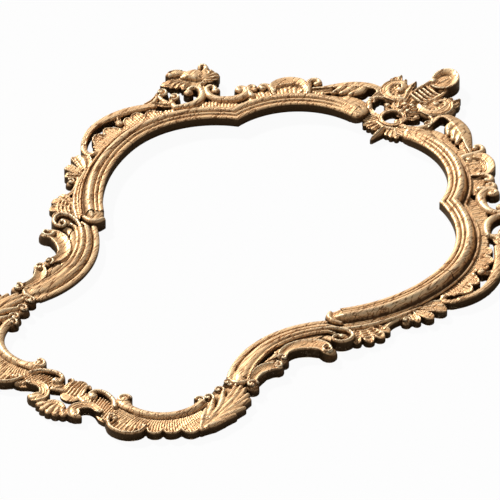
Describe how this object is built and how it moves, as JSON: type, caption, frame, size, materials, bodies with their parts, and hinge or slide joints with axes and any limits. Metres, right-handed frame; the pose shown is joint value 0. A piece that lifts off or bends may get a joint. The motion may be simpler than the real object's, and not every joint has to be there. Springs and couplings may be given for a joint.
{
  "type": "carved gilded frame",
  "caption": "Carved rococo frame of gilded wood, its moulded rails, scrolls, shells and plumed crest round a shaped opening, with turn buttons and hanging rings on the back.",
  "frame": {"origin": "middle of the frame's width and height, in the plane of its flat back", "axes": "+X to the right seen from the front, +Y up the frame to its crest, +Z out of its carved front"},
  "size_m": [0.7778, 1.1316, 0.0285],
  "materials": {
    "gilded_wood": "satin",
    "joint_wood": "matte",
    "button_brass": "satin",
    "hanger_steel": "satin"
  },
  "bodies": {
    "frame": {"bottom_arch_left": "gilded_wood", "bottom_arch_right": "gilded_wood", "bottom_fan": "gilded_wood", "bottom_scroll_left": "gilded_wood", "bottom_scroll_right": "gilded_wood", "bottom_shell": "gilded_wood", "branch_curl_left": "gilded_wood", "branch_curl_right": "gilded_wood", "branch_scroll_left": "gilded_wood", "branch_scroll_right": "gilded_wood", "brow_curls_left": "gilded_wood", "brow_curls_right": "gilded_wood", "brow_shell_left": "gilded_wood", "brow_shell_right": "gilded_wood", "corner_leaf_left": "gilded_wood", "corner_leaf_right": "gilded_wood", "corner_rocaille_left": "gilded_wood", "corner_rocaille_right": "gilded_wood", "crest_arm_left": "gilded_wood", "crest_arm_right": "gilded_wood", "crest_cartouche": "gilded_wood", "crest_lobe_left": "gilded_wood", "crest_lobe_right": "gilded_wood", "crest_pendant": "gilded_wood", "crest_plume": "gilded_wood", "hanger_plates": "hanger_steel", "hanger_screws": "hanger_steel", "hip_fan_left": "gilded_wood", "hip_fan_right": "gilded_wood", "hip_shell_left": "gilded_wood", "hip_shell_right": "gilded_wood", "joint_dowels": "joint_wood", "joint_tenons": "joint_wood", "lower_scroll_left": "gilded_wood", "lower_scroll_right": "gilded_wood", "pendant_scroll_left": "gilded_wood", "pendant_scroll_right": "gilded_wood", "shoulder_crown_left": "gilded_wood", "shoulder_crown_right": "gilded_wood", "shoulder_scroll_left": "gilded_wood", "shoulder_scroll_right": "gilded_wood", "side_crescent_left": "gilded_wood", "side_crescent_right": "gilded_wood", "side_rail_left": "gilded_wood", "side_rail_right": "gilded_wood", "side_rocaille_left": "gilded_wood", "side_rocaille_right": "gilded_wood", "top_rail_left": "gilded_wood", "top_rail_right": "gilded_wood", "turn_button_screws": "hanger_steel"},
    "hanger_ring_left": {"hanger_ring_left": "hanger_steel"},
    "hanger_ring_right": {"hanger_ring_right": "hanger_steel"},
    "turn_button_left_1": {"turn_button_left_1": "button_brass"},
    "turn_button_left_2": {"turn_button_left_2": "button_brass"},
    "turn_button_left_3": {"turn_button_left_3": "button_brass"},
    "turn_button_right_1": {"turn_button_right_1": "button_brass"},
    "turn_button_right_2": {"turn_button_right_2": "button_brass"},
    "turn_button_right_3": {"turn_button_right_3": "button_brass"}
  },
  "joints": [
    {"name": "turn_button_right_1_pivot", "type": "hinge", "parent": "frame", "child": "turn_button_right_1", "pos_m": [0.15161, 0.35202, 0.0028], "axis": [0, 0, 1], "range_deg": [0, 90]},
    {"name": "turn_button_right_2_pivot", "type": "hinge", "parent": "frame", "child": "turn_button_right_2", "pos_m": [0.31043, 0.03803, 0.0028], "axis": [0, 0, 1], "range_deg": [0, 90]},
    {"name": "turn_button_right_3_pivot", "type": "hinge", "parent": "frame", "child": "turn_button_right_3", "pos_m": [0.18409, -0.2123, 0.0028], "axis": [0, 0, 1], "range_deg": [0, 90]},
    {"name": "hanger_ring_right_hinge", "type": "hinge", "parent": "frame", "child": "hanger_ring_right", "pos_m": [0.30552, 0.15808, 0.0026], "axis": [-0.9397, -0.342, 0], "range_deg": [0, 150]},
    {"name": "turn_button_left_1_pivot", "type": "hinge", "parent": "frame", "child": "turn_button_left_1", "pos_m": [-0.15161, 0.35202, 0.0028], "axis": [0, 0, -1], "range_deg": [0, 90]},
    {"name": "turn_button_left_2_pivot", "type": "hinge", "parent": "frame", "child": "turn_button_left_2", "pos_m": [-0.31043, 0.03803, 0.0028], "axis": [0, 0, -1], "range_deg": [0, 90]},
    {"name": "turn_button_left_3_pivot", "type": "hinge", "parent": "frame", "child": "turn_button_left_3", "pos_m": [-0.18409, -0.2123, 0.0028], "axis": [0, 0, -1], "range_deg": [0, 90]},
    {"name": "hanger_ring_left_hinge", "type": "hinge", "parent": "frame", "child": "hanger_ring_left", "pos_m": [-0.30552, 0.15808, 0.0026], "axis": [-0.9397, 0.342, 0], "range_deg": [0, 150]}
  ]
}
